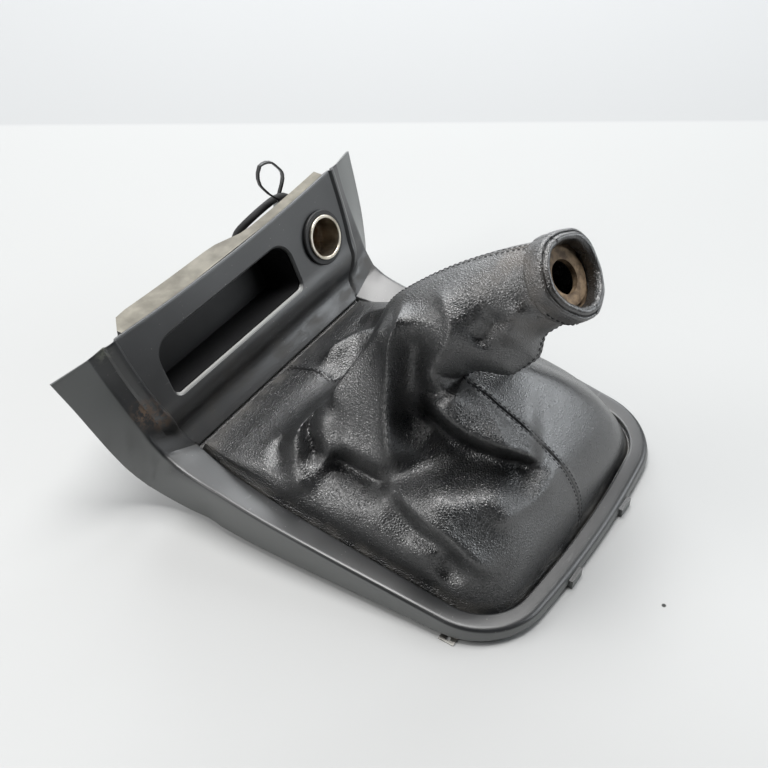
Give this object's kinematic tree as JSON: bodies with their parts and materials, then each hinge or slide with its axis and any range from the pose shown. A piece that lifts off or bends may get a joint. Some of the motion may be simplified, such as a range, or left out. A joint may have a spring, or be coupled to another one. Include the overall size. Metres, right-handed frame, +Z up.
{
  "type": "gear shift surround",
  "caption": "Moulded centre console surround with a leather gear lever gaiter, an open cubby and a 12 V socket.",
  "frame": {"origin": "centre of the footprint, on the surface the surround rests on (the box without the lead, its plug, connector and tie)", "axes": "+Z up, +Y to the front of the car (the panel with the cubby and the socket), +X to the car's right side"},
  "size_m": [0.242, 0.2571, 0.165],
  "materials": {
    "satin_plastic": "satin, fine grain, dust in the corners and a few rust-brown stains",
    "black_plastic": "satin black, dusty on the shelf behind the panel",
    "tan_plastic": "dirty, matt",
    "leather_black": "grained, worn to a soft sheen on the folds",
    "nickel_plate": "dull nickel plate, rusty inside",
    "spring_steel": "plain steel",
    "cable_black": "taped, matt",
    "brown_board": "pressed board, matt"
  },
  "bodies": {
    "root": {"bin_screw_1": "spring_steel", "bin_screw_2": "spring_steel", "bin_screw_3": "spring_steel", "bin_screw_4": "spring_steel", "cable_tie": "black_plastic", "cubby_bin": "black_plastic", "frame_screw_1": "spring_steel", "frame_screw_2": "spring_steel", "frame_screw_3": "spring_steel", "frame_screw_4": "spring_steel", "gaiter": "leather_black", "gaiter_frame": "black_plastic", "gaiter_ring": "tan_plastic", "lead_connector": "black_plastic", "socket_barrel": "nickel_plate", "socket_centre_contact": "nickel_plate", "socket_earth_terminal": "nickel_plate", "socket_insulator": "brown_board", "socket_lead": "cable_black", "socket_live_terminal": "nickel_plate", "socket_plug": "black_plastic", "socket_retainer": "black_plastic", "socket_side_contact": "nickel_plate", "socket_sleeve": "black_plastic", "spring_clip_left": "spring_steel", "spring_clip_right": "spring_steel", "surround": "satin_plastic"}
  },
  "joints": []
}
